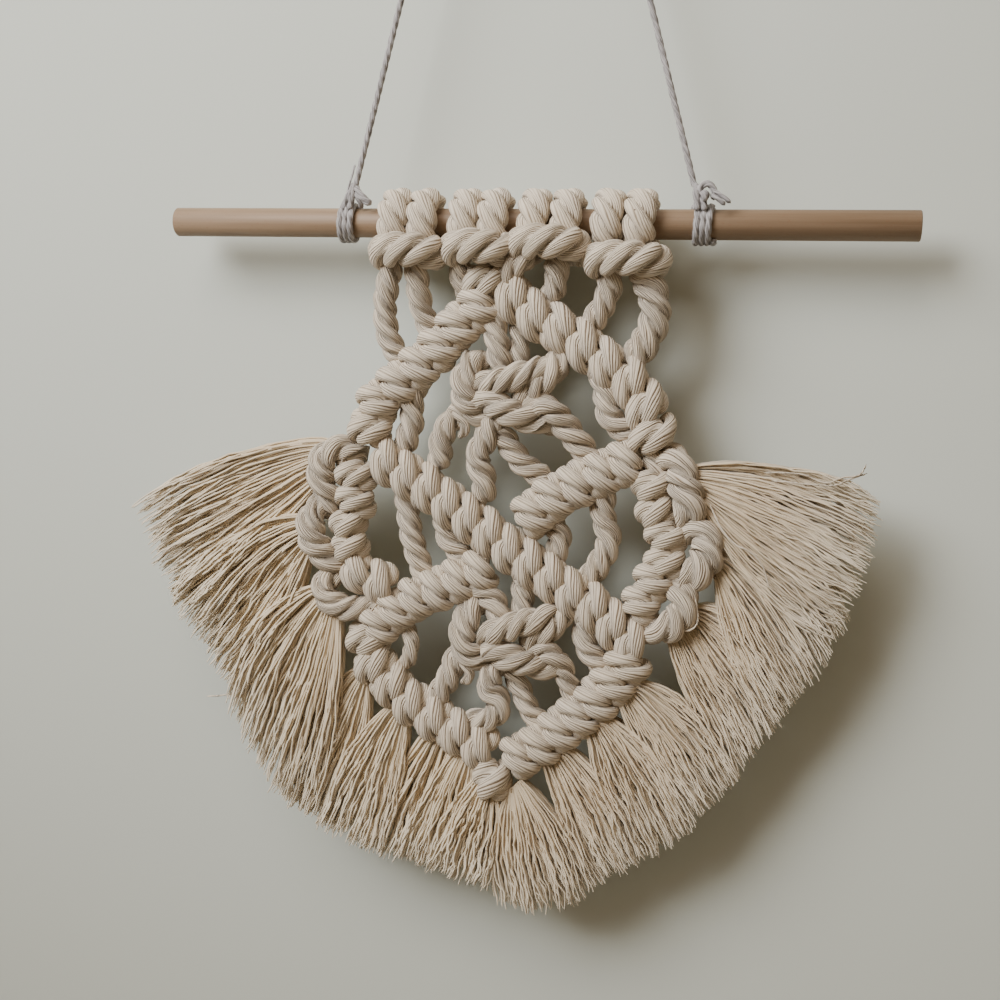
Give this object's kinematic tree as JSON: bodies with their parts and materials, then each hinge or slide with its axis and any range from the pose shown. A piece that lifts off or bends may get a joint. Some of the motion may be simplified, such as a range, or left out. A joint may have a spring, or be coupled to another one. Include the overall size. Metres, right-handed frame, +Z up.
{
  "type": "macrame wall hanging with wooden dowel",
  "caption": "Knotted cotton cord wall hanging on a wooden dowel, with hitched diamonds, square knots, side wings and a brushed-out fringe, hung from a nail by a thin twine.",
  "frame": {"origin": "the point where the hanging twine bears on its nail", "axes": "+Z is up along the way it hangs, +X along the dowel to the viewer's right, and -Y faces the viewer, away from the wall"},
  "size_m": [0.2148, 0.026, 0.3741],
  "materials": {
    "dowel_wood": "plain sanded beech, no varnish",
    "grey_twine": "matt twisted cotton twine",
    "cotton_cord": "matt natural three-ply cotton cord",
    "fringe_yarn": "brushed-out natural cotton yarn"
  },
  "bodies": {
    "root": {"dowel": "dowel_wood", "hanging_twine": "grey_twine", "knotwork": "cotton_cord", "fringe_left_wing_1": "fringe_yarn", "fringe_left_wing_2": "fringe_yarn", "fringe_left_wing_3": "fringe_yarn", "fringe_left_edge_1": "fringe_yarn", "fringe_left_edge_2": "fringe_yarn", "fringe_left_edge_3": "fringe_yarn", "fringe_left_edge_4": "fringe_yarn", "fringe_bottom_1": "fringe_yarn", "fringe_bottom_2": "fringe_yarn", "fringe_right_edge_1": "fringe_yarn", "fringe_right_edge_2": "fringe_yarn", "fringe_right_edge_3": "fringe_yarn", "fringe_right_wing_1": "fringe_yarn", "fringe_right_wing_2": "fringe_yarn", "fringe_right_wing_3": "fringe_yarn"}
  },
  "joints": []
}
